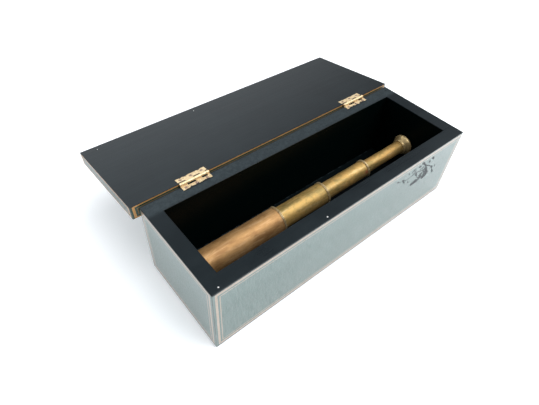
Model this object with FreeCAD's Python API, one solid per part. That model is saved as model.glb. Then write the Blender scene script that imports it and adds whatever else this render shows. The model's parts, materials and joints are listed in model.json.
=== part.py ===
"""Three-draw brass telescope lying in its hinged wooden case.

Frame: millimetres, origin at the centre of the case's underside, +X along the case towards the
telescope's eyepiece, +Y towards the hinges, +Z up.  At rest the lid lies open behind the case and
the telescope is partly drawn out.
"""
import FreeCAD, Part
import math
import os
from FreeCAD import Placement, Rotation, Vector

# ---------------------------------------------------------------- case
CASE_LENGTH = 400.0
CASE_DEPTH = 134.0
CASE_HEIGHT = 105.0
COVERING = 0.4
COVERING_FOOT = 1.2            # the covering stops this far above the underside
WALL = 18.0
BOTTOM = 9.0
RABBET = 8.0                   # how far the bottom board reaches into each wall
CORNER_RADIUS = 1.2

# ---------------------------------------------------------------- lid
LID_LENGTH = 412.2
LID_DEPTH = 137.5
LID_THICK = 17.0
LID_SHIFT = -3.0               # the lid sits this far off the case's middle, along X
LID_GAP = 1.1                  # gap between rim and lid when shut
LID_OPEN_DEG = 187.7

# ---------------------------------------------------------------- hinges
PIN_BEHIND = 1.35              # pin axis behind the back face
PIN_ABOVE = 1.9                # pin axis above the rim
KNUCKLE_RADIUS = 1.9
PIN_RADIUS = 0.8
PIN_FIT = 0.06                 # running clearance of the lid's knuckles on the pin
PIN_HEAD = 0.4
KNUCKLE_GAP = 0.15
KNUCKLES = (9.0, 10.4, 8.4, 7.2, 3.0)    # first, third and fifth belong to the case leaf
LEAF_THICK = 0.8
LEAF_PROUD_CASE = 0.55         # top of the case leaf above the rim
LEAF_PROUD_LID = 0.1           # lid leaf below the lid's inner face
LEAF_REACH_CASE = 7.6
LEAF_REACH_LID = 9.6
SLOT_DEPTH = 2.3               # slot cut in a leaf behind the other leaf's knuckles
HINGE_CLEAR = 0.35
HINGE_STARTS = (-149.6, 112.2)
SIDES = ("left", "right")
SCREW_FRACTIONS = (0.12, 0.48, 0.85)
SCREW_HEAD_RADIUS = 1.9
SCREW_SHANK_RADIUS = 1.0
SCREW_HEAD_DEPTH = 1.1
SCREW_LENGTH = 11.0
SCREW_DOME = 0.1
SCREW_SLOT = 0.5

# ---------------------------------------------------------------- catch magnets
MAGNET_RADIUS = 1.15
MAGNET_DEPTH = 4.0
MAGNET_X = (-189.6, -49.8)
MAGNET_FROM_FRONT = 4.4

# ---------------------------------------------------------------- telescope
# Stations are distances along the telescope's axis from its own datum, growing towards the eye.
DATUM = Vector(-160.0, 12.8, 29.2)
AXIS = Vector(340.0, -14.6, 22.7)
TUBE_WALL = 0.8
RADIUS_BARREL = 17.6
RADIUS_DRAWS = (14.7, 11.6, 9.0)
FIT = 0.06                     # running clearance, collar on draw
STOP_FIT = 0.08                # running clearance, stop ring in the tube around it
COLLAR_ENDS = (108.9, 182.9, 258.6)
COLLAR_RADII = (18.7, 15.9, 13.0)
COLLAR_SLEEVE = 12.0
BEAD = 1.6                     # width of one bead, two to a collar
DRAW_STARTS = (74.9, 154.6, 234.0)
STOP_LENGTH = 4.5
OBJECTIVE_END = -19.8
FERRULE_RADIUS = 18.6
FERRULE_LIP = 15.2
FERRULE_LENGTH = 6.4
BARREL_START = -17.0
CELL_END = -7.0
CELL_WALL = 1.0
CELL_LIP = 14.6
LENS_SAG = 1.4
PLANO_SAG = 1.6
RING_CLEAR = 0.25              # the retaining ring's clearance from the crown lens's edge
CROWN_FRONT = -15.4
CROWN_BACK = -11.0
FLINT_BACK = -8.0
EYECUP_START = 328.8
EYECUP_END = 341.1
EYECUP_RADIUS = 15.2
EYECUP_NECK = 10.6
EYE_HOLE = 4.0
ERECTOR_START = 235.0
ERECTOR_END = 276.0
EYEPIECE_START = 301.0
INNER_WALL = 0.7


def block(x_range, y_range, z_range):
    """Rectangular block between pairs of limits."""
    size = [high - low for low, high in (x_range, y_range, z_range)]
    return Part.makeBox(*size, Vector(x_range[0], y_range[0], z_range[0]))


def rounded_block(x_range, y_range, z_range, radius, top_too):
    """Block with its upright edges rounded, and its top edges too where asked."""
    solid = block(x_range, y_range, z_range)
    edges = []
    for edge in solid.Edges:
        upright = edge.BoundBox.ZLength > 1.0
        on_top = edge.BoundBox.ZMin > z_range[1] - 0.01
        if upright or (top_too and on_top):
            edges.append(edge)
    return solid.makeFillet(radius, edges)


def turned(points):
    """Solid turned about X from (station, radius) points; ("arc", middle, end) adds an arc."""
    edges = []
    here = Vector(points[0][0], points[0][1], 0)
    for item in list(points[1:]) + [points[0]]:
        if item[0] == "arc":
            middle = Vector(item[1][0], item[1][1], 0)
            there = Vector(item[2][0], item[2][1], 0)
            edges.append(Part.Arc(here, middle, there).toShape())
        else:
            there = Vector(item[0], item[1], 0)
            edges.append(Part.LineSegment(here, there).toShape())
        here = there
    solid = Part.Face(Part.Wire(edges)).revolve(Vector(0, 0, 0), Vector(1, 0, 0), 360)
    if solid.Volume < 0:
        solid.reverse()
    return solid


def pipe(start, end, inner, outer):
    """Plain tube along X."""
    return turned([(start, inner), (start, outer), (end, outer), (end, inner)])


def save(name, shape):
    """Write one node, after checking that it is sound."""
    if shape.isNull() or not shape.isValid() or shape.Volume <= 0:
        raise ValueError("bad shape: " + name)
    shape.exportStep(os.path.join("parts", name + ".step"))


# ==================================================================== case
half_length = CASE_LENGTH / 2
half_depth = CASE_DEPTH / 2
back_face = half_depth
rim = CASE_HEIGHT
pin_y = back_face + PIN_BEHIND
pin_z = rim + PIN_ABOVE
board_x = half_length - COVERING
board_y = half_depth - COVERING
inner_x = board_x - WALL
inner_y = board_y - WALL
hinge_length = sum(KNUCKLES)


def mitred_board(long_outer, long_inner, near, far, turn):
    """Wall board with mitred ends, lying along X at -Y, turned about Z into its place."""
    corners = [(-long_outer, -far), (long_outer, -far), (long_inner, -near), (-long_inner, -near)]
    points = [Vector(x, y, 0) for x, y in corners]
    wire = Part.makePolygon(points + [points[0]])
    board = Part.Face(wire).extrude(Vector(0, 0, rim))
    board.rotate(Vector(0, 0, 0), Vector(0, 0, 1), turn)
    return board


def case_walls():
    """The four mitred boards, rounded at the outer corners and rabbeted for the bottom board."""
    sides = {
        "front_board": (board_x, inner_x, inner_y, board_y, 0),
        "right_end_board": (board_y, inner_y, inner_x, board_x, 90),
        "back_board": (board_x, inner_x, inner_y, board_y, 180),
        "left_end_board": (board_y, inner_y, inner_x, board_x, 270),
    }
    envelope = rounded_block((-board_x, board_x), (-board_y, board_y), (0, rim),
                             CORNER_RADIUS - COVERING, False)
    rabbet = bottom_board()
    return {name: mitred_board(*spec).common(envelope).cut(rabbet) for name, spec in sides.items()}


def bottom_board():
    reach_x = inner_x + RABBET
    reach_y = inner_y + RABBET
    return block((-reach_x, reach_x), (-reach_y, reach_y), (0, BOTTOM))


def case_covering():
    outer = rounded_block((-half_length, half_length), (-half_depth, half_depth),
                          (COVERING_FOOT, rim), CORNER_RADIUS, False)
    inner = rounded_block((-board_x, board_x), (-board_y, board_y), (0, rim + 1),
                          CORNER_RADIUS - COVERING, False)
    return outer.cut(inner)


# ==================================================================== hinges
def knuckle_spans(start, first):
    """X limits of every other knuckle, beginning with knuckle number first."""
    spans = []
    at = start
    for number, width in enumerate(KNUCKLES):
        if number % 2 == first:
            spans.append((at, at + width))
        at += width
    return spans


def knuckle(span, bore):
    """One rolled knuckle about the pin axis, a hair short of its span."""
    low = span[0] + KNUCKLE_GAP / 2
    length = span[1] - span[0] - KNUCKLE_GAP
    place = Vector(low, pin_y, pin_z)
    along = Vector(1, 0, 0)
    return Part.makeCylinder(KNUCKLE_RADIUS, length, place, along).cut(
        Part.makeCylinder(bore, length, place, along))


def pin_hole(start, radius):
    return Part.makeCylinder(radius, hinge_length, Vector(start, pin_y, pin_z), Vector(1, 0, 0))


def hinge_leaf(start, first, y_low, z_range, bore):
    """A leaf: its plate, slotted behind the other leaf's knuckles, and its own knuckles."""
    end = start + hinge_length
    leaf = block((start, end), (y_low, pin_y), z_range)
    for low, high in knuckle_spans(start, 1 - first):
        slot_y = (back_face - SLOT_DEPTH, pin_y + 1)
        slot_z = (z_range[0] - 1, z_range[1] + 1)
        leaf = leaf.cut(block((low - KNUCKLE_GAP / 2, high + KNUCKLE_GAP / 2), slot_y, slot_z))
    leaf = leaf.cut(pin_hole(start, bore + 0.3))
    for span in knuckle_spans(start, first):
        leaf = leaf.fuse(knuckle(span, bore))
    return leaf.removeSplitter()


def case_leaf(start):
    top = rim + LEAF_PROUD_CASE
    return hinge_leaf(start, 0, back_face - LEAF_REACH_CASE, (top - LEAF_THICK, top), PIN_RADIUS)


def lid_leaf(start):
    low = rim + LID_GAP - LEAF_PROUD_LID
    return hinge_leaf(start, 1, back_face - LEAF_REACH_LID, (low, low + LEAF_THICK),
                      PIN_RADIUS + PIN_FIT)


def hinge_pin(start):
    """Pin with a thin flat head at each end of the knuckles."""
    head = PIN_RADIUS + 0.5
    end = start + hinge_length
    pin = turned([
        (start - PIN_HEAD, 0), (start - PIN_HEAD, head - 0.2), (start, head), (start, PIN_RADIUS),
        (end, PIN_RADIUS), (end, head), (end + PIN_HEAD, head - 0.2), (end + PIN_HEAD, 0),
    ])
    pin.translate(Vector(0, pin_y, pin_z))
    return pin


def screw_body(head_z, down):
    """Countersunk screw blank along Z: its head's edge is at head_z, its point goes down or up."""
    way = -1 if down else 1
    profile = [(0, head_z - way * SCREW_DOME), (SCREW_HEAD_RADIUS, head_z),
               (SCREW_SHANK_RADIUS, head_z + way * SCREW_HEAD_DEPTH),
               (SCREW_SHANK_RADIUS, head_z + way * (SCREW_LENGTH - 1.5)),
               (0, head_z + way * SCREW_LENGTH)]
    points = [Vector(r, 0, z) for r, z in profile]
    face = Part.Face(Part.makePolygon(points + [points[0]]))
    solid = face.revolve(Vector(0, 0, 0), Vector(0, 0, 1), 360)
    if solid.Volume < 0:
        solid.reverse()
    return solid


def screws(y, head_z, down):
    """Blank screws of both hinges, and the same screws with their driving slots."""
    blanks = []
    slotted = []
    for start in HINGE_STARTS:
        for number, fraction in enumerate(SCREW_FRACTIONS):
            blank = screw_body(head_z, down)
            groove = block((-SCREW_HEAD_RADIUS, SCREW_HEAD_RADIUS), (-SCREW_SLOT / 2, SCREW_SLOT / 2),
                           (head_z - 0.35, head_z + 0.35))
            groove.rotate(Vector(0, 0, 0), Vector(0, 0, 1), 35 + 50 * number)
            place = Vector(start + fraction * hinge_length, y, 0)
            slotted_screw = blank.cut(groove)
            blank.translate(place)
            slotted_screw.translate(place)
            blanks.append(blank)
            slotted.append(slotted_screw)
    return blanks, slotted


def magnets(z_low):
    y = -half_depth + MAGNET_FROM_FRONT
    return [Part.makeCylinder(MAGNET_RADIUS, MAGNET_DEPTH, Vector(x, y, z_low)) for x in MAGNET_X]


def cut_all(shape, tools):
    for tool in tools:
        shape = shape.cut(tool)
    return shape


# ==================================================================== lid, modelled shut
lid_low = rim + LID_GAP
lid_x = (LID_SHIFT - LID_LENGTH / 2, LID_SHIFT + LID_LENGTH / 2)
lid_y = (back_face - LID_DEPTH, back_face)
lid_z = (lid_low, lid_low + LID_THICK)


def lid_shell(inset, low, high):
    x_range = (lid_x[0] + inset, lid_x[1] - inset)
    y_range = (lid_y[0] + inset, lid_y[1] - inset)
    return rounded_block(x_range, y_range, (low, high), CORNER_RADIUS - inset, True)


def knuckle_notches():
    """Room in the lid's hinge edge for all the knuckles."""
    notches = []
    for start in HINGE_STARTS:
        low = Vector(start - HINGE_CLEAR - PIN_HEAD, pin_y, pin_z)
        length = hinge_length + 2 * (HINGE_CLEAR + PIN_HEAD)
        notches.append(Part.makeCylinder(KNUCKLE_RADIUS + HINGE_CLEAR, length, low, Vector(1, 0, 0)))
    return notches


def open_lid(shape):
    """Swing a shape of the shut lid to its rest place, open."""
    opened = shape.copy()
    opened.rotate(Vector(0, pin_y, pin_z), Vector(1, 0, 0), -LID_OPEN_DEG)
    return opened


# ==================================================================== telescope
LAY = Placement(DATUM, Rotation(Vector(1, 0, 0), AXIS))


def laid(shape):
    """Put a shape modelled along X on the telescope's own axis."""
    moved = shape.copy()
    moved.Placement = LAY.multiply(moved.Placement)
    return moved


def collar(end, rim_radius, tube_radius, draw_radius):
    """Double-beaded collar screwed into a tube's mouth, with the sleeve that guides the draw."""
    bead_radius = BEAD / 2
    base = rim_radius - bead_radius
    start = end - 2 * BEAD
    bore = draw_radius + FIT
    sleeve = tube_radius - TUBE_WALL
    return turned([
        (end - COLLAR_SLEEVE, bore), (end - COLLAR_SLEEVE, sleeve), (start, sleeve), (start, base),
        ("arc", (start + bead_radius, rim_radius), (start + BEAD, base)),
        ("arc", (end - bead_radius, rim_radius), (end, base)),
        (end, bore + 0.5), (end - 0.5, bore),
    ])


def ferrule():
    """Beaded ring that closes the objective end of the barrel."""
    end = OBJECTIVE_END + FERRULE_LENGTH
    return turned([
        (OBJECTIVE_END, FERRULE_LIP), (OBJECTIVE_END, FERRULE_RADIUS - 1.4),
        ("arc", (OBJECTIVE_END + 0.4, FERRULE_RADIUS - 0.4), (OBJECTIVE_END + 1.4, FERRULE_RADIUS)),
        (end - 2.4, FERRULE_RADIUS), (end - 2.0, FERRULE_RADIUS - 0.6),
        (end - 1.6, FERRULE_RADIUS - 0.6),
        ("arc", (end - 0.8, FERRULE_RADIUS), (end, FERRULE_RADIUS - 0.6)),
        (end, RADIUS_BARREL), (BARREL_START, RADIUS_BARREL), (BARREL_START, FERRULE_LIP),
    ])


def eyecup():
    """Flared eyecup: neck bead, waist, bell with a rolled rim, dished face and eye hole."""
    draw = RADIUS_DRAWS[2]
    waist = draw + 0.9
    neck_end = EYECUP_START + 2.4
    return turned([
        (EYECUP_START, draw), (EYECUP_START, EYECUP_NECK - 0.9),
        ("arc", (EYECUP_START + 1.2, EYECUP_NECK), (neck_end, EYECUP_NECK - 0.6)),
        (neck_end + 0.5, waist),
        ("arc", (EYECUP_START + 5.6, waist + 1.5), (EYECUP_END - 3.2, EYECUP_RADIUS - 0.7)),
        ("arc", (EYECUP_END - 1.7, EYECUP_RADIUS), (EYECUP_END - 0.4, EYECUP_RADIUS - 0.8)),
        ("arc", (EYECUP_END, EYECUP_RADIUS - 1.5), (EYECUP_END - 0.4, EYECUP_RADIUS - 2.2)),
        ("arc", (EYECUP_END - 3.6, 8.6), (EYECUP_END - 5.4, EYE_HOLE)),
        (EYECUP_END - 6.6, EYE_HOLE), (EYECUP_END - 6.6, draw - TUBE_WALL),
        (EYECUP_START + 3.0, draw - TUBE_WALL), (EYECUP_START + 3.0, draw),
    ])


def ball(crest, sag, radius, way):
    """Sphere whose cap of that sag and radius has its crest at a station; way is -1 or 1."""
    size = (radius ** 2 + sag ** 2) / (2 * sag)
    return Part.makeSphere(size, Vector(crest - way * size, 0, 0))


def glass_blank(start, end, radius):
    return Part.makeCylinder(radius, end - start, Vector(start, 0, 0), Vector(1, 0, 0))


def crown_lens(radius):
    blank = glass_blank(CROWN_FRONT, CROWN_BACK, radius)
    return blank.common(ball(CROWN_FRONT, LENS_SAG, radius, -1)).common(
        ball(CROWN_BACK, LENS_SAG, radius, 1))


def flint_lens(radius):
    """Back lens of the doublet, hollowed to fit the crown lens."""
    blank = glass_blank(CROWN_BACK - LENS_SAG, FLINT_BACK, radius)
    return blank.cut(ball(CROWN_BACK, LENS_SAG, radius, 1))


def plano_lens(flat, crest, radius):
    """Plano-convex lens: its flat face at one station, its crest at the other."""
    way = 1 if crest > flat else -1
    blank = glass_blank(min(flat, crest), max(flat, crest), radius)
    return blank.common(ball(crest, PLANO_SAG, radius, way))


def telescope():
    """All nodes of the telescope, along X; laid() puts them in the case."""
    nodes = {}
    outers = (RADIUS_BARREL,) + RADIUS_DRAWS
    flange_starts = [end - 2 * BEAD for end in COLLAR_ENDS]
    nodes["barrel_tube"] = pipe(BARREL_START, flange_starts[0], RADIUS_BARREL - TUBE_WALL, RADIUS_BARREL)
    nodes["barrel_collar"] = collar(COLLAR_ENDS[0], COLLAR_RADII[0], outers[0], outers[1])
    for number in (1, 2, 3):
        radius = outers[number]
        start = DRAW_STARTS[number - 1]
        end = flange_starts[number] if number < 3 else EYECUP_START + 3.0
        name = "draw_%d_" % number
        nodes[name + "tube"] = pipe(start, end, radius - TUBE_WALL, radius)
        around = outers[number - 1] - TUBE_WALL
        nodes[name + "stop_ring"] = pipe(start, start + STOP_LENGTH, radius, around - STOP_FIT)
        if number < 3:
            nodes[name + "collar"] = collar(COLLAR_ENDS[number], COLLAR_RADII[number], radius,
                                            outers[number + 1])
    nodes.update(objective())
    nodes.update(eyepiece())
    return nodes


def objective():
    cell = RADIUS_BARREL - TUBE_WALL
    lens = cell - CELL_WALL
    ring_end = CROWN_FRONT + LENS_SAG - RING_CLEAR
    return {
        "objective_ferrule": ferrule(),
        "objective_cell": turned([
            (BARREL_START, lens), (BARREL_START, cell), (CELL_END, cell), (CELL_END, CELL_LIP),
            (FLINT_BACK, CELL_LIP), (FLINT_BACK, lens)]),
        "objective_retaining_ring": pipe(BARREL_START, ring_end, CELL_LIP, lens),
        "crown_lens": crown_lens(lens),
        "flint_lens": flint_lens(lens),
    }


def eyepiece():
    """Erector and eyepiece, both inside the third draw."""
    bore = RADIUS_DRAWS[2] - TUBE_WALL
    lens = bore - INNER_WALL
    stop_at = (ERECTOR_START + ERECTOR_END) / 2
    field_stop_at = EYEPIECE_START + 11.0
    eye_at = EYECUP_START + 2.4
    return {
        "erector_tube": pipe(ERECTOR_START, ERECTOR_END, lens, bore),
        "erector_lens_inner": plano_lens(ERECTOR_START + 1.0, ERECTOR_START + 4.0, lens),
        "erector_stop": pipe(stop_at, stop_at + 0.8, 2.5, lens),
        "erector_lens_outer": plano_lens(ERECTOR_END - 1.0, ERECTOR_END - 4.0, lens),
        "eyepiece_tube": pipe(EYEPIECE_START, EYECUP_START + 3.0, lens, bore),
        "field_lens": plano_lens(EYEPIECE_START + 4.5, EYEPIECE_START + 1.0, lens),
        "field_stop": pipe(field_stop_at, field_stop_at + 0.8, 4.5, lens),
        "eye_lens": plano_lens(eye_at, eye_at - 3.0, lens),
        "eyecup": eyecup(),
    }


# ==================================================================== bodies
def case_nodes():
    """Everything that stays put: walls, bottom, covering and the case side of the hinges."""
    leaves = [case_leaf(start) for start in HINGE_STARTS]
    screw_y = back_face - LEAF_REACH_CASE * 0.58
    blanks, slotted = screws(screw_y, rim + LEAF_PROUD_CASE, True)
    discs = magnets(rim - MAGNET_DEPTH)
    nodes = {name: cut_all(board, leaves + blanks + discs) for name, board in case_walls().items()}
    nodes["bottom_board"] = bottom_board()
    nodes["case_covering"] = cut_all(case_covering(), leaves)
    for side, leaf, start in zip(SIDES, leaves, HINGE_STARTS):
        nodes["hinge_leaf_case_" + side] = cut_all(leaf, blanks)
        nodes["hinge_pin_" + side] = hinge_pin(start)
    nodes["hinge_screws_case"] = Part.makeCompound(slotted)
    nodes["catch_magnets_case"] = Part.makeCompound(discs)
    return nodes


def lid_nodes():
    """The lid and all that turns with it, swung open."""
    leaves = [lid_leaf(start) for start in HINGE_STARTS]
    screw_y = back_face - LEAF_REACH_LID * 0.55
    blanks, slotted = screws(screw_y, lid_low - LEAF_PROUD_LID, False)
    discs = magnets(lid_low)
    notches = knuckle_notches()
    board = lid_shell(COVERING, lid_low, lid_z[1] - COVERING)
    outer = lid_shell(0, lid_low, lid_z[1])
    nodes = {
        "lid_board": cut_all(board, notches + leaves + blanks + discs),
        "lid_covering": cut_all(outer.cut(board), notches),
        "hinge_screws_lid": Part.makeCompound(slotted),
        "catch_magnets_lid": Part.makeCompound(discs),
    }
    for side, leaf in zip(SIDES, leaves):
        nodes["hinge_leaf_lid_" + side] = cut_all(leaf, blanks)
    return {name: open_lid(shape) for name, shape in nodes.items()}


def main():
    os.makedirs("parts", exist_ok=True)
    nodes = case_nodes() | lid_nodes()
    nodes.update({name: laid(shape) for name, shape in telescope().items()})
    for name, shape in nodes.items():
        save(name, shape)
    print(len(nodes), "nodes")


main()
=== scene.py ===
"""Looks of a three-draw brass telescope lying in its open, hinged case.

Everything is in metres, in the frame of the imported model: +X along the case, +Y towards the
hinges, +Z up, origin at the centre of the case's underside.
"""
import json
import math

import bmesh
import bpy
from mathutils import Matrix, Vector


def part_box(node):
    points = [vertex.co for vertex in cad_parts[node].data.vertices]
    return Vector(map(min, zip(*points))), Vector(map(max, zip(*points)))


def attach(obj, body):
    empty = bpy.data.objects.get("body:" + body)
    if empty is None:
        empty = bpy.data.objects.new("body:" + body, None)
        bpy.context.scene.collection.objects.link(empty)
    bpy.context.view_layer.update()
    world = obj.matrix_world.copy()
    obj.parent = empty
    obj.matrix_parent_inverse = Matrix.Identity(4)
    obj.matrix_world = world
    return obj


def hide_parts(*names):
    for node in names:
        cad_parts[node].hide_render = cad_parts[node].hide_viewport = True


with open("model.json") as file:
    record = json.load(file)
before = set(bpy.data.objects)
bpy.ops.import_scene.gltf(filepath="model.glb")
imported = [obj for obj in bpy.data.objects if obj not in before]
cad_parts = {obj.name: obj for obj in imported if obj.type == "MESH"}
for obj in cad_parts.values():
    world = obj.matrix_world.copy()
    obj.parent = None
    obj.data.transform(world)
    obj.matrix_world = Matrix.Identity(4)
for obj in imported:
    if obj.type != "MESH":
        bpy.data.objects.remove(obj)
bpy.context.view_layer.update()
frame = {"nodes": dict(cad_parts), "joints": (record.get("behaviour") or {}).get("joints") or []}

MM = 0.001
SEGMENTS = 160                 # facets around a turned piece
joints = {joint["name"]: joint for joint in frame["joints"]}

# ---------------------------------------------------------------- colours, linear
PAINT_BLACK = (0.0016, 0.0036, 0.0052)
PAINT_WORN = (0.0040, 0.0070, 0.0090)
# painted shade: the well's walls and floor take their own levels of the same paint, the walls blacker
WELL_SHADE_BLACK = (0.0006, 0.0024, 0.0023)
WELL_FLOOR_SHADE_BLACK = (0.0035, 0.0060, 0.0068)
DUST = (0.030, 0.040, 0.045)
SPECK_GREY = (0.20, 0.21, 0.22)
GREEN_DARK = (0.020, 0.070, 0.056)
GREEN_LIGHT = (0.036, 0.112, 0.096)
# paler green mixed in on the case towards its rim
GREEN_RIM_PALE = (0.130, 0.205, 0.190)
# deeper green mixed into the lid's covering as painted shade
GREEN_LID_SHADE = (0.004, 0.022, 0.012)
SCUFF_GREY = (0.12, 0.15, 0.14)
GOLD_LINE = (0.34, 0.235, 0.155)
GOLD_PALE = (0.44, 0.34, 0.26)
GOLD_DEEP = (0.58, 0.28, 0.08)
GOLD_AGED = (0.40, 0.22, 0.09)
# painted shade of the covering's upright corners and of the case's foot
EDGE_SHADE_GREEN = (0.006, 0.014, 0.012)
INK = (0.050, 0.058, 0.062)
INK_WORN = (0.26, 0.32, 0.31)
BARREL_COPPER = (0.49, 0.280, 0.110)
BARREL_BROWN = (0.31, 0.160, 0.058)
BARREL_PALE = (0.62, 0.405, 0.215)
DRAW_GOLD = (0.50, 0.325, 0.100)
DRAW_OLIVE = (0.25, 0.180, 0.058)
DRAW_PALE = (0.58, 0.430, 0.205)
COLLAR_PALE = (0.78, 0.650, 0.410)
COLLAR_DULL = (0.56, 0.440, 0.250)
COLLAR_RUBBED = (0.80, 0.690, 0.460)
EYECUP_STRAW = (0.70, 0.520, 0.260)
EYECUP_DULL = (0.50, 0.360, 0.165)
EYECUP_RUBBED = (0.80, 0.620, 0.340)
PIT_BROWN = (0.05, 0.03, 0.02)
HINGE_BRIGHT = (0.80, 0.63, 0.38)
HINGE_DULL = (0.56, 0.40, 0.22)
STAIN_RED = (0.36, 0.10, 0.055)
SCREW_BRASS = (0.58, 0.43, 0.31)
SCREW_DULL = (0.30, 0.17, 0.14)
# darker tone of the screw slots and the edges round the heads
SCREW_RECESS_DARK = (0.035, 0.022, 0.018)
NICKEL = (0.72, 0.72, 0.71)
NICKEL_DULL = (0.50, 0.50, 0.50)
BLACKENING = (0.012, 0.011, 0.010)
BLACKENING_WORN = (0.030, 0.027, 0.024)
GLASS_TINT = (0.93, 0.98, 0.95)
FLOOR_WHITE = (0.90, 0.915, 0.93)
SKY_WHITE = (0.94, 0.97, 1.0)


# ==================================================================== node wiring
class Nodes:
    """A node tree under construction, where most methods add one node and give back its output."""

    def __init__(self, tree):
        self.tree = tree

    def put(self, socket, value):
        """Wire a value, number or colour into a socket."""
        if isinstance(value, bpy.types.NodeSocket):
            self.tree.links.new(value, socket)
        elif isinstance(value, tuple) and socket.type == "RGBA":
            socket.default_value = (*value, 1.0)
        else:
            socket.default_value = value

    def node(self, kind, inputs=(), **settings):
        """Add a node of any kind and give back the node itself."""
        made = self.tree.nodes.new("ShaderNode" + kind)
        for name, value in settings.items():
            setattr(made, name, value)
        for name, value in dict(inputs).items():
            self.put(made.inputs[name], value)
        return made

    def scaled(self, vector, scale):
        return self.node("VectorMath", {0: vector, 1: scale}, operation="MULTIPLY").outputs[0]

    def split(self, vector):
        return self.node("SeparateXYZ", {0: vector}).outputs

    def math(self, operation, a, b=0.0, c=0.0, clamp=False):
        made = self.node("Math", {0: a, 1: b, 2: c}, operation=operation, use_clamp=clamp)
        return made.outputs[0]

    def noise(self, vector, scale, detail=4.0, roughness=0.55, distortion=0.0):
        inputs = {"Vector": vector, "Scale": scale, "Detail": detail, "Roughness": roughness,
                  "Distortion": distortion}
        return self.node("TexNoise", inputs).outputs["Fac"]

    def cells(self, vector, scale):
        """Distance to the nearest of a scatter of points."""
        return self.node("TexVoronoi", {"Vector": vector, "Scale": scale}).outputs["Distance"]

    def ramp(self, value, low, high, bottom=0.0, top=1.0):
        """Smooth step of value from low to high, giving bottom to top."""
        inputs = {"Value": value, "From Min": low, "From Max": high, "To Min": bottom, "To Max": top}
        return self.node("MapRange", inputs, interpolation_type="SMOOTHSTEP").outputs[0]

    def mix(self, amount, a, b):
        made = self.node("Mix", data_type="RGBA")
        self.put(made.inputs["Factor"], amount)
        self.put(made.inputs[6], a)
        self.put(made.inputs[7], b)
        return made.outputs[2]


class Shader(Nodes):
    """A material under construction, wired into its Principled surface."""

    def __init__(self, name, **fixed):
        self.material = bpy.data.materials.new(name)
        self.material.use_nodes = True
        super().__init__(self.material.node_tree)
        self.surface = self.tree.nodes["Principled BSDF"]
        for socket, value in fixed.items():
            self.surface.inputs[socket.replace("_", " ")].default_value = value

    def place(self):
        """Where a point is in the part's frame."""
        return self.node("TexCoord").outputs["Object"]

    def facing(self):
        return self.node("TexCoord").outputs["Normal"]

    def bump(self, height, distance, strength):
        inputs = {"Height": height, "Distance": distance, "Strength": strength}
        return self.node("Bump", inputs).outputs[0]

    def finish(self, colour, roughness=None, normal=None, metallic=None):
        """Wire what is given into the surface and give back the finished material."""
        self.put(self.surface.inputs["Base Color"], colour)
        if roughness is not None:
            self.put(self.surface.inputs["Roughness"], roughness)
        if normal is not None:
            self.put(self.surface.inputs["Normal"], normal)
            self.put(self.surface.inputs["Coat Normal"], normal)
        if metallic is not None:
            self.put(self.surface.inputs["Metallic"], metallic)
        return self.material


# ==================================================================== the telescope's own axis
def node_points(node):
    return [vertex.co.copy() for vertex in frame["nodes"][node].data.vertices]


AXIS = Vector(joints["draw_1_slide"]["axis"]).normalized()
AXIS_POINT = sum(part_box("barrel_tube"), Vector()) / 2
TURN = Vector((1, 0, 0)).rotation_difference(AXIS).to_matrix().to_4x4()
LAY = Matrix.Translation(AXIS_POINT) @ TURN


def station(point):
    """Distance of a point along the telescope's axis, from the middle of the barrel."""
    return (point - AXIS_POINT).dot(AXIS)


def span(node):
    """First and last station of a turned CAD node along the telescope's axis."""
    stations = [station(point) for point in node_points(node)]
    return min(stations), max(stations)


def girth(node):
    """Smallest and largest radius of a turned CAD node."""
    radii = [(point - AXIS_POINT - AXIS * station(point)).length for point in node_points(node)]
    return min(radii), max(radii)


# ==================================================================== mesh helpers
ROUND_SHARE = 0.45                    # most of an outline's side that one rounded corner takes up
NEARLY_STRAIGHT = math.radians(150)   # corners flatter than this stay as they are
TINY = 0.001 * MM
GROUP_GAP = 2 * MM                    # least distance between separate bits of one node


def bounds_of(points):
    low = Vector([min(point[axis] for point in points) for axis in range(3)])
    high = Vector([max(point[axis] for point in points) for axis in range(3)])
    return low, high


def finished_mesh(name, shape, placing=None, sharp_from=None, smooth=True):
    """Mesh from a closed bmesh, moved by placing, with edges over sharp_from degrees kept sharp."""
    bmesh.ops.recalc_face_normals(shape, faces=shape.faces)
    if placing is not None:
        shape.transform(placing)
    mesh = bpy.data.meshes.new(name)
    shape.to_mesh(mesh)
    shape.free()
    if smooth:
        mesh.shade_smooth()
    if sharp_from is not None:
        mesh.set_sharp_from_angle(angle=math.radians(sharp_from))
    return mesh


def new_piece(name, mesh, material, body, nodes=()):
    """Put a mesh in the scene on its body, standing for the CAD nodes it replaces."""
    piece = bpy.data.objects.new(name, mesh)
    bpy.context.scene.collection.objects.link(piece)
    mesh.materials.append(material)
    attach(piece, body)
    if nodes:
        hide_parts(*nodes)
    return piece


def rounded(outline, radius, steps=4):
    """Closed outline of (x, y) points with each sharp corner rounded off by a small arc."""
    points = []
    count = len(outline)
    for index in range(count):
        before = Vector(outline[index - 1])
        corner = Vector(outline[index])
        after = Vector(outline[(index + 1) % count])
        to_before = before - corner
        to_after = after - corner
        turn = to_before.angle(to_after, math.pi)
        reach = min(radius, ROUND_SHARE * to_before.length, ROUND_SHARE * to_after.length)
        if turn > NEARLY_STRAIGHT or reach < TINY:
            points.append(corner)
            continue
        first = corner + to_before.normalized() * reach
        last = corner + to_after.normalized() * reach
        for step in range(steps + 1):
            at = step / steps
            points.append(first * (1 - at) ** 2 + corner * 2 * at * (1 - at) + last * at ** 2)
    return points


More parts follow.
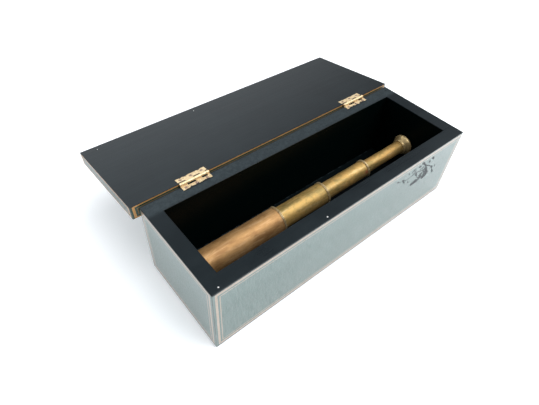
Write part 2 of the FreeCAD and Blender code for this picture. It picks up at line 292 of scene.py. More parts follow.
def lathe(name, outline, material, body, nodes, dents=()):
    """Turned piece from a closed (station, radius) outline; dents are (station, angle, size, depth)."""
    shape = bmesh.new()
    rings = []
    for index in range(SEGMENTS):
        angle = 2 * math.pi * index / SEGMENTS
        ring = []
        for at, radius in outline:
            sink = 0.0
            for dent_at, dent_angle, size, depth in dents:
                swing = math.remainder(angle - dent_angle, 2 * math.pi) * radius
                away = math.hypot(at - dent_at, swing) / size
                sink += depth * math.exp(-away * away)
            bent = radius - sink
            ring.append(shape.verts.new((at, bent * math.cos(angle), bent * math.sin(angle))))
        rings.append(ring)
    for index in range(SEGMENTS):
        here = rings[index]
        there = rings[(index + 1) % SEGMENTS]
        for corner in range(len(outline)):
            after = (corner + 1) % len(outline)
            shape.faces.new((here[corner], here[after], there[after], there[corner]))
    new_piece(name, finished_mesh(name, shape, LAY), material, body, nodes)


def loose_boxes(points):
    """Low and high corner of each separate group of points along X, the groups standing well apart."""
    ordered = sorted(points, key=lambda point: point.x)
    groups = [[ordered[0]]]
    for point in ordered[1:]:
        if point.x - groups[-1][-1].x > GROUP_GAP:
            groups.append([])
        groups[-1].append(point)
    return [bounds_of(group) for group in groups]


# ==================================================================== case dimensions, from the frame
case_low, case_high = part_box("case_covering")
RIM = case_high.z
BOARD_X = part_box("right_end_board")[1].x
BOARD_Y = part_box("back_board")[1].y
WELL_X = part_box("right_end_board")[0].x
WELL_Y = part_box("back_board")[0].y
RABBET_X, RABBET_Y, WELL_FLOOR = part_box("bottom_board")[1]
PIN = Vector(joints["lid_hinge"]["pos_m"])
LID_SWING = math.radians(joints["lid_hinge"]["range_deg"][1])
SHUT = Matrix.Translation(PIN) @ Matrix.Rotation(LID_SWING, 4, "X") @ Matrix.Translation(-PIN)


def shut_box(node):
    """Corners of a lid node once the lid is swung shut."""
    return bounds_of([SHUT @ point for point in node_points(node)])


# ==================================================================== materials
SATIN = 0.36                   # specular level of the black paint
WELL_SATIN = 0.04              # and of the same paint down in the well
SKIN = 0.2 * MM                # reach of a mask past the faces it is for


def inside_well(made, place):
    """1 on the painted faces inside the well, 0 on the rim and outside."""
    x, y, z = made.split(place)
    within_x = made.math("LESS_THAN", made.math("ABSOLUTE", x), WELL_X + SKIN)
    within_y = made.math("LESS_THAN", made.math("ABSOLUTE", y), WELL_Y + SKIN)
    below = made.math("LESS_THAN", z, RIM - 1.2 * MM)
    return made.math("MULTIPLY", made.math("MULTIPLY", within_x, within_y), below)


def well_shade_and_dust(made, place, paint, inside):
    """The paint with painted shade in the well, blacker on its walls, and dust in the floor's long corners
    and on the rim behind.
    """
    y, z = made.split(place)[1:]
    on_floor = made.math("LESS_THAN", z, WELL_FLOOR + SKIN)
    # painted shade: the faces inside the well take a blacker copy of the paint, with its own level on the
    # floor
    colour = made.mix(inside, paint, made.mix(on_floor, WELL_SHADE_BLACK, WELL_FLOOR_SHADE_BLACK))
    corner = made.ramp(made.math("ABSOLUTE", y), WELL_Y - 1.2 * MM, WELL_Y - 0.4 * MM)
    low_down = made.math("LESS_THAN", z, WELL_FLOOR + 0.8 * MM)
    gathered = made.math("MULTIPLY", corner, made.math("MULTIPLY", inside, low_down))
    patches = made.ramp(made.noise(place, 140.0, 4.0, 0.7), 0.46, 0.60)
    colour = made.mix(made.math("MULTIPLY", gathered, patches), colour, DUST)
    behind = made.math("MULTIPLY", made.ramp(y, WELL_Y - 4 * MM, WELL_Y + 4 * MM),
                       made.ramp(y, BOARD_Y + 2 * MM, BOARD_Y - 2 * MM))
    behind = made.math("MULTIPLY", behind, made.math("SUBTRACT", 1.0, inside))
    settled = made.ramp(made.noise(place, 320.0, 6.0, 0.8), 0.36, 0.64, 0.40, 0.90)
    return made.mix(made.math("MULTIPLY", behind, settled), colour, DUST)


def black_paint(name, shine, has_well=False):
    """Brushed-on satin black paint: brush strokes, pin-prick dust and a few rubbed spots."""
    made = Shader(name, IOR=1.45, Specular_IOR_Level=SATIN, Specular_Tint=(0.80, 0.94, 1.0, 1.0))
    at = made.place()
    brushed = made.noise(made.scaled(at, (40.0, 700.0, 700.0)), 1.0, 3.0)
    stroke = made.noise(made.scaled(at, (5.0, 110.0, 110.0)), 1.0, 5.0, 0.65)
    orange_peel = made.noise(at, 900.0, 3.0)
    cloud = made.noise(at, 22.0, 5.0, 0.6)
    specks = made.ramp(made.cells(at, 95.0), 0.020, 0.012)
    specks = made.math("MULTIPLY", specks, made.ramp(made.noise(at, 31.0), 0.60, 0.66))
    colour = made.mix(made.ramp(cloud, 0.35, 0.75), PAINT_BLACK, PAINT_WORN)
    colour = made.mix(specks, colour, SPECK_GREY)
    if has_well:
        inside = inside_well(made, at)
        colour = well_shade_and_dust(made, at, colour, inside)
        satin = made.math("MULTIPLY_ADD", inside, WELL_SATIN - SATIN, SATIN)
        made.put(made.surface.inputs["Specular IOR Level"], satin)
    rough = made.math("MULTIPLY_ADD", cloud, 0.10, shine - 0.14)
    rough = made.math("MULTIPLY_ADD", stroke, 0.18, rough)
    relief = made.math("MULTIPLY_ADD", brushed, 0.6, orange_peel)
    relief = made.math("MULTIPLY_ADD", stroke, 2.2, relief)
    return made.finish(colour, rough, made.bump(relief, 0.08 * MM, 0.6))


# The gold lines' edges as (sideways, up or down) insets in millimetres from a panel's edges:
# outside and inside of the thick line, then outside and inside of the thin one.
WALL_LINES = ((3.3, 1.9), (6.0, 5.4), (8.0, 7.6), (9.4, 9.2))
LID_EDGE_LINES = ((2.6, 0.5), (5.4, 2.1), (7.6, 4.0), (9.0, 4.8))
FLAT_LINES = ((3.2, 3.2), (6.0, 6.0), (8.2, 8.2), (9.8, 9.8))
LINE_BLUR = 0.12 * MM


def swung_shut(made, vector, kind="POINT"):
    """A place on the lid, or with kind NORMAL a facing, as it is once the lid is swung shut."""
    inputs = {"Vector": vector, "Rotation": (LID_SWING, 0.0, 0.0)}
    if kind == "POINT":
        inputs["Location"] = tuple(SHUT.to_translation())
    return made.node("Mapping", inputs, vector_type=kind).outputs[0]


def line_ring(made, across, along, outer, inner):
    """1 in the ring between two rectangles given as (across, along) insets from a panel's edges."""
    within = []
    for inset_across, inset_along in (outer, inner):
        first = made.ramp(across, inset_across * MM - LINE_BLUR, inset_across * MM + LINE_BLUR)
        second = made.ramp(along, inset_along * MM - LINE_BLUR, inset_along * MM + LINE_BLUR)
        within.append(made.math("MULTIPLY", first, second))
    return made.math("SUBTRACT", within[0], within[1], clamp=True)


def gold_lines(made, edges, facing, lid):
    """Masks of the thick and the thin line of the border, which runs round every panel."""
    shown = [made.math("GREATER_THAN", made.math("ABSOLUTE", part), 0.7) for part in made.split(facing)]
    sides = LID_EDGE_LINES if lid else WALL_LINES
    panels = [(edges[1], edges[2], sides, shown[0]),
              (edges[0], edges[2], sides, shown[1]),
              (edges[0], edges[1], FLAT_LINES, shown[2])]
    thick = 0.0
    thin = 0.0
    for across, along, lines, on_panel in panels:
        thick = made.math("MULTIPLY_ADD", line_ring(made, across, along, *lines[:2]), on_panel, thick)
        thin = made.math("MULTIPLY_ADD", line_ring(made, across, along, *lines[2:]), on_panel, thin)
    return thick, thin


def leather_green(made, at, cloud, streak, drop, lid):
    """Streaky green with pale scuffs, deeper on the lid as painted shade, paler on the case towards its
    rim.
    """
    shade = made.math("MULTIPLY_ADD", streak, 0.6, made.math("MULTIPLY", cloud, 0.4))
    green = made.mix(shade, GREEN_DARK, GREEN_LIGHT)
    scuffs = made.ramp(made.noise(made.scaled(at, (90.0, 90.0, 60.0)), 1.0, 6.0, 0.75), 0.70, 0.78)
    green = made.mix(made.math("MULTIPLY", scuffs, 0.35), green, SCUFF_GREY)
    # painted shade: the lid takes a deeper copy of the same green
    if lid:
        return made.mix(0.65, green, GREEN_LID_SHADE)
    # paler towards the case's rim
    return made.mix(made.ramp(drop, 45 * MM, 4 * MM, 0.0, 0.45), green, GREEN_RIM_PALE)


def paint_lap(made, at, drop, rise, ragged, lid):
    """1 where the black paint laps over the covering's mouth, which is the lid's foot once shut."""
    if lid:
        mouth = rise
        lap = 0.6 * MM
    else:
        mouth = drop
        lap = made.ramp(made.split(at)[0], -200 * MM, 200 * MM, 1.4 * MM, 0.5 * MM)
    past = made.math("SUBTRACT", made.math("MULTIPLY_ADD", ragged, 1.5, mouth), lap)
    return made.ramp(past, 0.1 * MM, -0.1 * MM)


def covering(name, low, high, lid=False):
    """Dark green printed leatherette with a double gold border, painted shade along its upright corners
    and the case's foot, and a painted mouth.

    low and high are the covered box, with the lid shut.
    """
    made = Shader(name, IOR=1.5, Coat_Roughness=0.24, Coat_IOR=1.62)
    at = made.place()
    facing = made.facing()
    if lid:
        at = swung_shut(made, at)
        facing = swung_shut(made, facing, "NORMAL")
    ragged = made.math("MULTIPLY_ADD", made.noise(at, 420.0, 2.0), 0.6 * MM, -0.3 * MM)
    rises = [made.math("SUBTRACT", made.split(at)[axis], low[axis]) for axis in range(3)]
    drops = [made.math("SUBTRACT", high[axis], made.split(at)[axis]) for axis in range(3)]
    edges = [made.math("ADD", made.math("MINIMUM", rise, drop), ragged)
             for rise, drop in zip(rises, drops)]
    stretched = made.scaled(at, (1.0, 1.0, 0.35))
    grain = made.noise(stretched, 900.0, 5.0, 0.7)
    cloud = made.noise(at, 14.0, 5.0, 0.6)
    streak = made.noise(made.scaled(at, (520.0, 520.0, 70.0)), 1.0, 4.0, 0.6)
    colour = leather_green(made, at, cloud, streak, drops[2], lid)
    gold = made.mix(cloud, GOLD_DEEP if lid else GOLD_LINE, GOLD_AGED if lid else GOLD_PALE)
    unworn = made.ramp(grain, 0.30, 0.44)
    thick, thin = gold_lines(made, edges, facing, lid)
    thin = made.math("MULTIPLY", thin, 0.4 if lid else 0.7)
    for line in (thick, thin):
        colour = made.mix(made.math("MULTIPLY", line, unworn), colour, gold)
    # painted shade: a dark line down each upright corner
    arris_shade = made.ramp(made.math("MAXIMUM", edges[0], edges[1]), 0.9 * MM, 0.3 * MM)
    colour = made.mix(made.math("MULTIPLY", arris_shade, 0.85), colour, EDGE_SHADE_GREEN)
    if not lid:
        # painted shade: a dark line along the case's foot, where it meets the floor
        foot = made.ramp(rises[2], 1.2 * MM, 0.6 * MM)
        colour = made.mix(foot, colour, EDGE_SHADE_GREEN)
    lapped = paint_lap(made, at, drops[2], rises[2], ragged, lid)
    colour = made.mix(lapped, colour, PAINT_BLACK)
    sheen = made.math("MULTIPLY_ADD", grain, 0.5, made.math("MULTIPLY", streak, 0.5))
    glaze = made.ramp(sheen, 0.38, 0.60, 0.15 if lid else 0.55, 0.40 if lid else 1.0)
    glaze = made.math("MULTIPLY_ADD", lapped, -0.75, glaze, clamp=True)
    made.put(made.surface.inputs["Coat Weight"], glaze)
    relief = made.math("MULTIPLY_ADD", made.cells(stretched, 420.0), -0.5, grain)
    rough = made.math("MULTIPLY_ADD", grain, 0.25, 0.28)
    return made.finish(colour, rough, made.bump(relief, 0.20 * MM, 0.7))


def patina(name, dull, main, pale, roughness, mottling=0.6, stain=None):
    """Handled brass: cloudy patina, lengthwise rubbing, fine scratches and dark pits."""
    made = Shader(name, Metallic=0.6, IOR=1.5)
    at = made.place()
    cloud = made.noise(made.scaled(at, (38.0, 90.0, 90.0)), 1.0, 6.0, 0.62, 0.3)
    rubbed = made.noise(made.scaled(at, (30.0, 330.0, 330.0)), 1.0, 4.0, 0.6, 0.2)
    turned = made.noise(made.scaled(at, (2600.0, 30.0, 30.0)), 1.0, 2.0)
    mottle = made.noise(at, 190.0, 5.0, 0.7)
    pits = made.ramp(made.cells(at, 210.0), 0.10, 0.04)
    pits = made.math("MULTIPLY", pits, made.ramp(made.noise(at, 60.0), 0.57, 0.67))
    colour = made.mix(made.ramp(cloud, 0.32, 0.58), dull, main)
    colour = made.mix(made.ramp(rubbed, 0.50, 0.72, 0.0, 0.6), colour, pale)
    colour = made.mix(made.ramp(mottle, 0.46, 0.66, 0.0, mottling), colour, dull)
    colour = made.mix(made.math("MULTIPLY", pits, 0.7), colour, PIT_BROWN)
    if stain is not None:
        away = made.node("VectorMath", {0: at, 1: tuple(stain)}, operation="DISTANCE").outputs["Value"]
        wobble = made.math("MULTIPLY_ADD", mottle, 4 * MM, away)
        colour = made.mix(made.ramp(wobble, 6.5 * MM, 3 * MM, 0.0, 0.8), colour, STAIN_RED)
    rough = made.math("MULTIPLY_ADD", cloud, 0.16, roughness - 0.06)
    rough = made.math("MULTIPLY_ADD", rubbed, -0.12, rough)
    relief = made.math("MULTIPLY_ADD", turned, 0.5, made.math("MULTIPLY", mottle, 0.8))
    return made.finish(colour, rough, made.bump(relief, 0.04 * MM, 0.6))


def hinge_brass(name, node):
    """Stamped brass, with the case's black paint lapping raggedly over the leaf's far edge."""
    low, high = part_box(node)
    made = Shader(name, IOR=1.5)
    at = made.place()
    x, y = made.split(at)[:2]
    ends = made.math("MINIMUM", made.math("SUBTRACT", x, low.x), made.math("SUBTRACT", high.x, x))
    on_case = "case" in node
    far = made.math("SUBTRACT", y, low.y) if on_case else made.math("SUBTRACT", high.y, y)
    broad = made.noise(at, 210.0, 5.0, 0.65)
    fine = made.noise(at, 1000.0, 4.0, 0.7)
    lap = 3.4 * MM if on_case else 1.4 * MM
    reach = made.math("MULTIPLY", made.ramp(broad, 0.36, 0.70, 0.0, lap), made.ramp(ends, 2 * MM, 7 * MM))
    reach = made.math("MULTIPLY_ADD", fine, 0.9 * MM, reach)
    painted = made.ramp(made.math("SUBTRACT", far, reach), 0.15 * MM, -0.15 * MM)
    tarnish = made.noise(at, 330.0, 5.0, 0.7)
    metal = made.mix(made.ramp(tarnish, 0.42, 0.66), HINGE_BRIGHT, HINGE_DULL)
    colour = made.mix(painted, metal, PAINT_BLACK)
    rough = made.math("MULTIPLY_ADD", tarnish, 0.25, 0.34)
    normal = made.bump(made.math("MULTIPLY_ADD", painted, 3.0, fine), 0.04 * MM, 0.7)
    metallic = made.math("MULTIPLY_ADD", painted, -0.6, 0.6)
    return made.finish(colour, rough, normal, metallic)


def plain_metal(name, bright, dull, roughness):
    """Bare metal with a fine mottle of tarnish."""
    made = Shader(name, Metallic=1.0)
    at = made.place()
    mottle = made.noise(at, 700.0, 4.0, 0.6)
    rough = made.math("MULTIPLY_ADD", mottle, 0.2, roughness)
    colour = made.mix(made.ramp(mottle, 0.45, 0.7), bright, dull)
    return made.finish(colour, rough, made.bump(mottle, 0.03 * MM, 0.4))


def screw_brass(name, lid=False):
    """Dull reddish brass screws, darker in the slots and round the heads."""
    made = Shader(name, Metallic=0.6)
    at = made.place()
    if lid:
        at = swung_shut(made, at)
        depth = made.math("SUBTRACT", made.split(at)[2], shut_box("hinge_screws_lid")[0].z)
    else:
        depth = made.math("SUBTRACT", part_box("hinge_screws_case")[1].z, made.split(at)[2])
    mottle = made.noise(at, 700.0, 4.0, 0.6)
    brass = made.mix(made.ramp(mottle, 0.42, 0.62), SCREW_BRASS, SCREW_DULL)
    # darker where the head falls away below its top: the slots and round the heads
    colour = made.mix(made.ramp(depth, 0.06 * MM, 0.10 * MM), brass, SCREW_RECESS_DARK)
    rough = made.math("MULTIPLY_ADD", mottle, 0.2, 0.35)
    return made.finish(colour, rough, made.bump(mottle, 0.03 * MM, 0.4))


def blackened(name):
    """Chemically blackened brass of the parts inside the tubes."""
    made = Shader(name, Metallic=0.2)
    mottle = made.noise(made.place(), 500.0, 4.0)
    colour = made.mix(mottle, BLACKENING, BLACKENING_WORN)
    return made.finish(colour, made.math("MULTIPLY_ADD", mottle, 0.2, 0.45))


def lens_glass(name):
    """Clear old glass with a patchy haze."""
    made = Shader(name, Transmission_Weight=1.0, IOR=1.52, Roughness=0.02)
    haze = made.noise(made.place(), 120.0, 4.0)
    rough = made.ramp(haze, 0.45, 0.80, 0.01, 0.08)
    return made.finish(GLASS_TINT, rough)


def ink(name):
    """Flat printing ink, thin and broken where it has worn."""
    made = Shader(name, IOR=1.45)
    at = made.place()
    patches = made.noise(made.scaled(at, (1.0, 1.0, 0.5)), 380.0, 5.0, 0.75)
    worn = made.ramp(patches, 0.54, 0.66, 0.0, 0.8)
    colour = made.mix(worn, INK, INK_WORN)
    return made.finish(colour, 0.6)


PAINT = black_paint("black_paint", 0.30, has_well=True)
LID_PAINT = black_paint("lid_black_paint", 0.32)
CASE_COVER = covering("case_leatherette", case_low, case_high)
LID_COVER = covering("lid_leatherette", *shut_box("lid_covering"), lid=True)
BARREL = patina("barrel_patina", BARREL_BROWN, BARREL_COPPER, BARREL_PALE, 0.60, mottling=0.3)
COLLAR = patina("collar_brass", COLLAR_DULL, COLLAR_PALE, COLLAR_RUBBED, 0.32)
EYECUP = patina("eyecup_brass", EYECUP_DULL, EYECUP_STRAW, EYECUP_RUBBED, 0.30)
BLACKENED = blackened("blackened_brass")
GLASS = lens_glass("lens_glass")


def dress(node, material):
    """Give a CAD node its finished material."""
    data = frame["nodes"][node].data
    data.materials.clear()
    data.materials.append(material)


# ==================================================================== case and lid
RIM_ROUND = 0.5 * MM


def board_profile(near, far, groove):
    """Section of a wall board as (distance from the case's middle, height): rounded rim, rabbet below."""
    corners = [(far, 0.0), (far, RIM), (near, RIM), (near, WELL_FLOOR), (groove, WELL_FLOOR),
               (groove, 0.0)]
    return rounded(corners, RIM_ROUND)


def mitred_board(name, node, turn):
    """A wall board swept from its section and mitred at both ends, standing for the CAD node."""
    sideways = turn % 180 != 0
    far, crossing = (BOARD_X, BOARD_Y) if sideways else (BOARD_Y, BOARD_X)
    near = WELL_X if sideways else WELL_Y
    groove = RABBET_X if sideways else RABBET_Y
    shape = bmesh.new()
    section = board_profile(near, far, groove)
    ends = []
    for side in (-1, 1):
        ends.append([shape.verts.new((side * (crossing - far + point.x), -point.x, point.y))
                     for point in section])
    for index in range(len(section)):
        after = (index + 1) % len(section)
        shape.faces.new((ends[0][index], ends[0][after], ends[1][after], ends[1][index]))
    shape.faces.new(ends[0][::-1])
    shape.faces.new(ends[1])
    mesh = finished_mesh(name, shape, Matrix.Rotation(math.radians(turn), 4, "Z"), sharp_from=35)
    piece = new_piece(name, mesh, PAINT, "case", [node])
    level = piece.modifiers.new("level_faces", "WEIGHTED_NORMAL")
    level.weight = 100
    level.keep_sharp = True


def make_case():
    for turn, side in ((0, "front"), (90, "right_end"), (180, "back"), (270, "left_end")):
        mitred_board("painted_%s_board" % side, side + "_board", turn)
    dress("bottom_board", PAINT)
    dress("case_covering", CASE_COVER)
    dress("lid_covering", LID_COVER)
    dress("lid_board", LID_PAINT)


# ==================================================================== telescope
TUBE_EDGE = 0.12 * MM         # rounding of a tube's ends
TUBE_STEP = 4 * MM            # spacing of the rings along a tube, close enough to dent it


def tube_outline(node):
    """Plain tube with faintly rounded ends."""
    start, end = span(node)
    inner, outer = girth(node)
    corners = [(start, inner), (start, outer), (end, outer), (end, inner)]
    return rounded(densified(corners), TUBE_EDGE)


def densified(corners):
    """The same outline with points added along its long stretches."""
    points = []
    for index, corner in enumerate(corners):
        here = Vector(corner)
        there = Vector(corners[(index + 1) % len(corners)])
        count = max(1, round((there - here).length / TUBE_STEP))
        points.extend(tuple(here.lerp(there, number / count)) for number in range(count))
    return points


def bead(start, width, foot, crest, steps=14):
    """Half-round bead standing on a turned outline."""
    points = []
    for step in range(steps + 1):
        turn = math.pi * step / steps
        points.append((start + width * (1 - math.cos(turn)) / 2, foot + (crest - foot) * math.sin(turn)))
    return points


def collar_outline(node, tube):
    """Double-beaded collar with a fine groove between the beads and a chamfered mouth."""
    start, end = span(node)
    bore, crest = girth(node)
    sleeve = girth(tube)[0]
    shoulder = span(tube)[1]
    width = (end - shoulder) / 2
    foot = crest - 0.9 * width
    gap = 0.5 * MM
    chamfer = 0.5 * MM
    outline = [(start, bore), (start, sleeve), (shoulder, sleeve)]
    outline += bead(shoulder + 0.15 * MM, width - gap, foot, crest)
    outline += bead(shoulder + width + 0.25 * MM, width - gap, foot, crest - 0.05 * MM)
    outline += [(end, bore + chamfer), (end - chamfer, bore)]
    return outline


def ferrule_outline():
    """Cap over the objective end: a rounded nose, a plain band and one bead against the barrel."""
    start, end = span("objective_ferrule")
    lip, crest = girth("objective_ferrule")
    tube = girth("barrel_tube")[1]
    seat = span("barrel_tube")[0]
    nose = 1.4 * MM
    nose_steps = 8
    outline = [(start, lip), (start, crest - nose)]
    for step in range(nose_steps + 1):
        turn = math.pi / 2 * step / nose_steps
        outline.append((start + nose * (1 - math.cos(turn)), crest - nose * (1 - math.sin(turn))))
    outline += [(end - 2.4 * MM, crest), (end - 2.1 * MM, crest - 0.5 * MM)]
    outline += bead(end - 1.7 * MM, 1.6 * MM, crest - 0.6 * MM, crest)
    outline += [(end, tube + 0.15 * MM), (end, tube), (seat, tube), (seat, lip)]
    return outline


def smooth_run(points, steps=8):
    """Catmull-Rom curve through (station, radius) points."""
    ends = [points[0], *points, points[-1]]
    run = []
    for index in range(1, len(ends) - 2):
        a, b, c, d = [Vector(ends[index + shift]) for shift in (-1, 0, 1, 2)]
        for step in range(steps):
            t = step / steps
            run.append(tuple(0.5 * ((2 * b) + (c - a) * t + (2 * a - 5 * b + 4 * c - d) * t * t
                                    + (3 * b - a - 3 * c + d) * t ** 3)))
    run.append(tuple(points[-1]))
    return run


def eyecup_outline():
    """Neck bead, short hollow waist and a bell with a thick rolled rim and a dished face."""
    start, end = span("eyecup")
    hole, crest = girth("eyecup")
    bore, draw = girth("draw_3_tube")
    neck = 2.2 * MM
    waist = draw + 1.2 * MM
    brim = (start + 8.6 * MM, crest - 0.15 * MM)
    lip = (end - 0.5 * MM, crest - 3.4 * MM)
    bell = [(start + neck + 0.15 * MM, waist), (start + 3.5 * MM, waist + 0.7 * MM),
            (start + 5.2 * MM, waist + 2.6 * MM), (start + 7.0 * MM, crest - 1.0 * MM), brim]
    rim = [brim, (end - 2.4 * MM, crest), (end - 0.8 * MM, crest - 0.7 * MM), (end, crest - 2.2 * MM), lip]
    dish = [lip, (end - 2.0 * MM, crest - 5.2 * MM), (end - 4.0 * MM, crest - 8.4 * MM),
            (end - 5.2 * MM, hole)]
    outline = [(start, draw)] + bead(start, neck, draw + 0.5 * MM, draw + 2.1 * MM)
    outline += smooth_run(bell)
    outline += smooth_run(rim)[1:]
    outline += smooth_run(dish)[1:]
    outline += [(end - 6.6 * MM, hole), (end - 6.6 * MM, bore), (start + 3.0 * MM, bore),
                (start + 3.0 * MM, draw)]
    return outline


def draw_brass(number):
    """Each draw's own patina, a little redder draw by draw, with a red stain by the second's collar."""
    stain = None
    if number == 2:
        end = span("draw_2_tube")[1]
        radius = girth("draw_2_tube")[1]
        stain = LAY @ Vector((end - 3 * MM, -0.92 * radius, 0.38 * radius))
    fading = 1.0 - 0.03 * number
    red, green, blue = DRAW_GOLD
    main = (red, green * fading, blue * fading)
    return patina("draw_%d_brass" % number, DRAW_OLIVE, main, DRAW_PALE, 0.56, stain=stain)


BARREL_DENTS = [                      # station, angle, size, depth
    (-20 * MM, 2.6, 7 * MM, 0.16 * MM),
    (18 * MM, 1.1, 9 * MM, 0.12 * MM),
    (36 * MM, 3.3, 6 * MM, 0.14 * MM),
]
BLACKENED_NODES = ("objective_cell", "objective_retaining_ring", "erector_tube", "erector_stop",
                   "eyepiece_tube", "field_stop")
LENS_NODES = ("crown_lens", "flint_lens", "erector_lens_inner", "erector_lens_outer", "field_lens",
              "eye_lens")


def make_telescope():
    lathe("turned_barrel", tube_outline("barrel_tube"), BARREL, "barrel", ["barrel_tube"],
          BARREL_DENTS)
    lathe("turned_barrel_collar", collar_outline("barrel_collar", "barrel_tube"), COLLAR, "barrel",
          ["barrel_collar"])
    lathe("turned_objective_ferrule", ferrule_outline(), COLLAR, "barrel", ["objective_ferrule"])
    for number in (1, 2, 3):
        name = "draw_%d" % number
        brass = draw_brass(number)
        lathe("turned_" + name, tube_outline(name + "_tube"), brass, name, [name + "_tube"])
        dress(name + "_stop_ring", brass)
        if number < 3:
            lathe("turned_" + name + "_collar", collar_outline(name + "_collar", name + "_tube"), COLLAR,
                  name, [name + "_collar"])
    lathe("turned_eyecup", eyecup_outline(), EYECUP, "draw_3", ["eyecup"])
    for node in BLACKENED_NODES:
        dress(node, BLACKENED)
    for node in LENS_NODES:
        dress(node, GLASS)


# ==================================================================== fittings
DISC_FACETS = 48


def magnets(name, node, to_level, way, bare, material, body):
    """Disc magnets with softly domed faces a hair proud of the paint, bare over a share of their width.

    to_level turns the CAD node level, and way is 1 or -1 as its faces then look up or down.
    """
    shape = bmesh.new()
    for low, high in loose_boxes([to_level @ point for point in node_points(node)]):
        radius = bare * (high.x - low.x) / 2
        centre = (low + high) / 2
        face, back = (high.z, low.z) if way > 0 else (low.z, high.z)
        rings = [(0.0, face + way * 0.07 * MM), (radius * 0.75, face + way * 0.06 * MM),
                 (radius * 0.93, face + way * 0.02 * MM), (radius, face - way * 0.12 * MM),
                 (radius, back), (0.0, back)]
        loops = []
        for reach, height in rings:
            count = 1 if reach == 0.0 else DISC_FACETS
            loop = []
            for step in range(count):
                angle = 2 * math.pi * step / count
                loop.append(shape.verts.new((centre.x + reach * math.cos(angle),
                                             centre.y + reach * math.sin(angle), height)))
            loops.append(loop)
        for upper, lower in zip(loops, loops[1:]):
            for step in range(DISC_FACETS):
                corners = [upper[step % len(upper)], upper[(step + 1) % len(upper)],
                           lower[(step + 1) % len(lower)], lower[step % len(lower)]]
                shape.faces.new(list(dict.fromkeys(corners)))
    mesh = finished_mesh(name, shape, to_level.inverted(), sharp_from=50)
    new_piece(name, mesh, material, body, [node])


def make_fittings():
    for side in ("left", "right"):
        for part in ("case", "lid"):
            node = "hinge_leaf_%s_%s" % (part, side)
            dress(node, hinge_brass(node + "_brass", node))
        dress("hinge_pin_" + side, plain_metal("pin_brass_" + side, HINGE_BRIGHT, HINGE_DULL, 0.3))
    dress("hinge_screws_case", screw_brass("case_screw_brass"))
    dress("hinge_screws_lid", screw_brass("lid_screw_brass", lid=True))
    nickel = plain_metal("nickel", NICKEL, NICKEL_DULL, 0.25)
    still = Matrix.Identity(4)
    magnets("case_magnet_faces", "catch_magnets_case", still, 1, 0.8, nickel, "case")
    magnets("lid_magnet_faces", "catch_magnets_lid", SHUT, -1, 0.62, nickel, "lid")


# ==================================================================== printed sprig
INK_THICK = 0.05 * MM

# a leafy branch near the right end of the front panel, X and Z in millimetres
SPRIG_STEMS = [                       # width at the root, points
    (3.4, [(118, 95), (123, 90), (128, 85), (131, 78), (137, 68)]),
    (1.5, [(131, 78), (120, 80), (110, 83), (98, 82), (86, 82), (76, 85), (69, 89)]),
    (2.0, [(126, 86), (137, 80), (145, 74), (150, 66), (154, 58)]),
    (2.4, [(137, 68), (127, 66), (118, 69), (112, 77), (108, 82)]),
]
SPRIG_LEAVES = [                      # foot X, foot Z, heading in degrees, length, width
    (126, 82, -62, 22, 9.5), (136, 74, -105, 15, 10.5), (140, 63, 175, 13, 7.0), (126, 70, -145, 15, 7.5),
    (116, 68, -150, 11, 7.0), (114, 62, 160, 10, 6.0), (127, 75, 200, 10, 4.5), (112, 76, 110, 8, 3.5),
    (118, 92, 105, 5, 3.0), (117, 90, 165, 7, 3.5), (137, 94, -45, 9, 4.0), (133, 91, -70, 6, 3.5),
    (97, 88, 25, 9, 3.2), (89, 92, -40, 5, 2.2), (82, 82, -48, 9, 2.2), (86, 83, 150, 9, 2.4),
    (73, 87, 150, 6, 3.0), (150, 66, -55, 10, 3.4), (153, 73, -60, 5, 2.2), (93, 76, -45, 6, 1.6),
    (125, 86, 195, 9, 2.6), (101, 83, 35, 8, 2.2), (143, 76, -50, 10, 3.2),
]


def leaf_loop(foot, heading, length, width, steps=10):
    """Outline of one pointed, slightly bowed leaf as (x, z) points in millimetres."""
    forward = Vector((math.cos(heading), math.sin(heading)))
    side = Vector((-forward.y, forward.x))
    loop = []
    for way in (1, -1):
        for step in range(steps):
            t = step / steps if way == 1 else 1 - step / steps
            half = width / 2 * math.sin(math.pi * t) ** 0.8 * (1 + 0.22 * math.sin(9 * t + foot.x))
            bow = 0.08 * length * math.sin(math.pi * t)
            loop.append(foot + forward * (length * t) + side * (way * half + bow))
    return loop


def stem_loop(points, width):
    """Outline of a tapering stroke through (x, z) points in millimetres."""
    run = smooth_run(points, 6)
    left, right = [], []
    for index, point in enumerate(run):
        before = Vector(run[max(index - 1, 0)])
        after = Vector(run[min(index + 1, len(run) - 1)])
        way = (after - before).normalized()
        half = width / 2 * (1 - 0.75 * index / (len(run) - 1)) * (1 + 0.3 * math.sin(1.9 * index))
        left.append(Vector(point) + Vector((-way.y, way.x)) * half)
        right.append(Vector(point) - Vector((-way.y, way.x)) * half)
    return left + right[::-1]


def make_sprig():
    """A generic leafy sprig printed near the right end of the front panel."""
    front = case_low.y
    loops = [stem_loop(points, width) for width, points in SPRIG_STEMS]
    for x, z, heading, length, width in SPRIG_LEAVES:
        loops.append(leaf_loop(Vector((x, z)), math.radians(heading), length, width))
    shape = bmesh.new()
    for layer, loop in enumerate(loops):
        proud = INK_THICK * (1 + 0.02 * layer)
        low = [shape.verts.new((point.x * MM, front, point.y * MM)) for point in loop]
        top = [shape.verts.new((vert.co.x, front - proud, vert.co.z)) for vert in low]
        shape.faces.new(top)
        shape.faces.new(low[::-1])
        for index in range(len(loop)):
            after = (index + 1) % len(loop)
            shape.faces.new((low[index], low[after], top[after], top[index]))
    bmesh.ops.triangulate(shape, faces=[face for face in shape.faces if len(face.verts) > 4])
    mesh = finished_mesh("printed_sprig", shape, smooth=False)
    new_piece("printed_sprig", mesh, ink("printing_ink"), "case")


# ==================================================================== studio
FLOOR_HALF = 6.0
SOFT_BOX_PLACE = (0.8, -0.75, 2.1)
SOFT_BOX_SIDE = 2.4
SOFT_BOX_POWER = 50.0


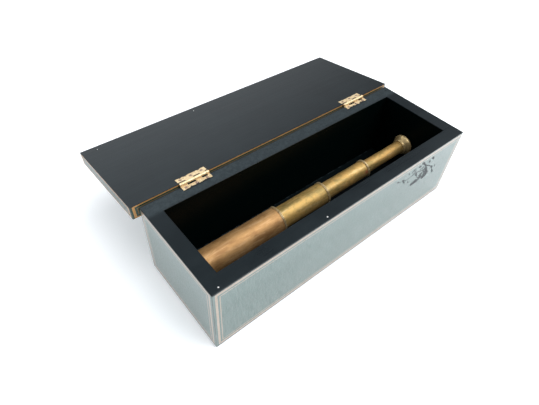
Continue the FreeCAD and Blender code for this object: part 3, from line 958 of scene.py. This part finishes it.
def make_floor():
    corners = [(-FLOOR_HALF, -FLOOR_HALF, 0), (FLOOR_HALF, -FLOOR_HALF, 0), (FLOOR_HALF, FLOOR_HALF, 0),
               (-FLOOR_HALF, FLOOR_HALF, 0)]
    mesh = bpy.data.meshes.new("floor")
    mesh.from_pydata(corners, [], [(0, 1, 2, 3)])
    floor = bpy.data.objects.new("studio_floor", mesh)
    bpy.context.scene.collection.objects.link(floor)
    made = Shader("pale_floor", Roughness=0.6, Emission_Color=(*SKY_WHITE, 1.0), Emission_Strength=0.25)
    mesh.materials.append(made.finish(FLOOR_WHITE))


def make_soft_box():
    """One square area light aimed at the origin."""
    data = bpy.data.lights.new("right_box", "AREA")
    data.size = SOFT_BOX_SIDE
    data.energy = SOFT_BOX_POWER
    light = bpy.data.objects.new("right_box", data)
    light.location = SOFT_BOX_PLACE
    light.rotation_euler = (-Vector(SOFT_BOX_PLACE)).to_track_quat("-Z", "Y").to_euler()
    bpy.context.scene.collection.objects.link(light)


def make_tent():
    """A pale wall behind, more to the left, and a glowing panel overhead in front, more to the right."""
    world = bpy.data.worlds.new("studio")
    bpy.context.scene.world = world
    world.use_nodes = True
    sky = Nodes(world.node_tree)
    x, y, z = sky.split(sky.node("TexCoord").outputs["Generated"])
    behind = sky.math("SUBTRACT", y, sky.math("MULTIPLY", x, 0.35))
    wall = sky.ramp(behind, 0.18, 0.85, 0.26, 1.4)
    panel = sky.math("MULTIPLY", sky.ramp(y, 0.33, 0.22, 0.0, 1.55), sky.ramp(z, 0.42, 0.68))
    panel = sky.math("MULTIPLY", panel, sky.ramp(x, -0.5, 0.6, 0.2, 1.1))
    background = sky.tree.nodes["Background"]
    sky.put(background.inputs["Strength"], sky.math("ADD", wall, panel))
    sky.put(background.inputs["Color"], SKY_WHITE)


# the camera's direction from the case, its turn about its own line of sight, its place and its lens
CAMERA_AZIMUTH = math.radians(-42.57)
CAMERA_ELEVATION = math.radians(47.04)
CAMERA_ROLL = math.radians(4.05)
CAMERA_PLACE = (-0.2981, -0.2410, 0.4421)
CAMERA_LENS = 28.49
SENSOR_WIDTH = 36.0


def make_camera():
    level = math.cos(CAMERA_ELEVATION)
    back = Vector((math.sin(CAMERA_AZIMUTH) * level, -math.cos(CAMERA_AZIMUTH) * level,
                   math.sin(CAMERA_ELEVATION)))
    right = Vector((math.cos(CAMERA_AZIMUTH), math.sin(CAMERA_AZIMUTH), 0))
    up = back.cross(right)
    rolled_right = right * math.cos(CAMERA_ROLL) + up * math.sin(CAMERA_ROLL)
    rolled_up = up * math.cos(CAMERA_ROLL) - right * math.sin(CAMERA_ROLL)
    data = bpy.data.cameras.new("camera")
    data.lens = CAMERA_LENS
    data.sensor_width = SENSOR_WIDTH
    data.clip_start = 10 * MM
    camera = bpy.data.objects.new("camera", data)
    turn = Matrix((rolled_right, rolled_up, back)).transposed()
    camera.matrix_world = Matrix.Translation(CAMERA_PLACE) @ turn.to_4x4()
    bpy.context.scene.collection.objects.link(camera)
    bpy.context.scene.camera = camera


make_case()
make_telescope()
make_fittings()
make_sprig()
make_floor()
make_tent()
make_soft_box()
make_camera()
bpy.context.scene.view_settings.view_transform = "Standard"
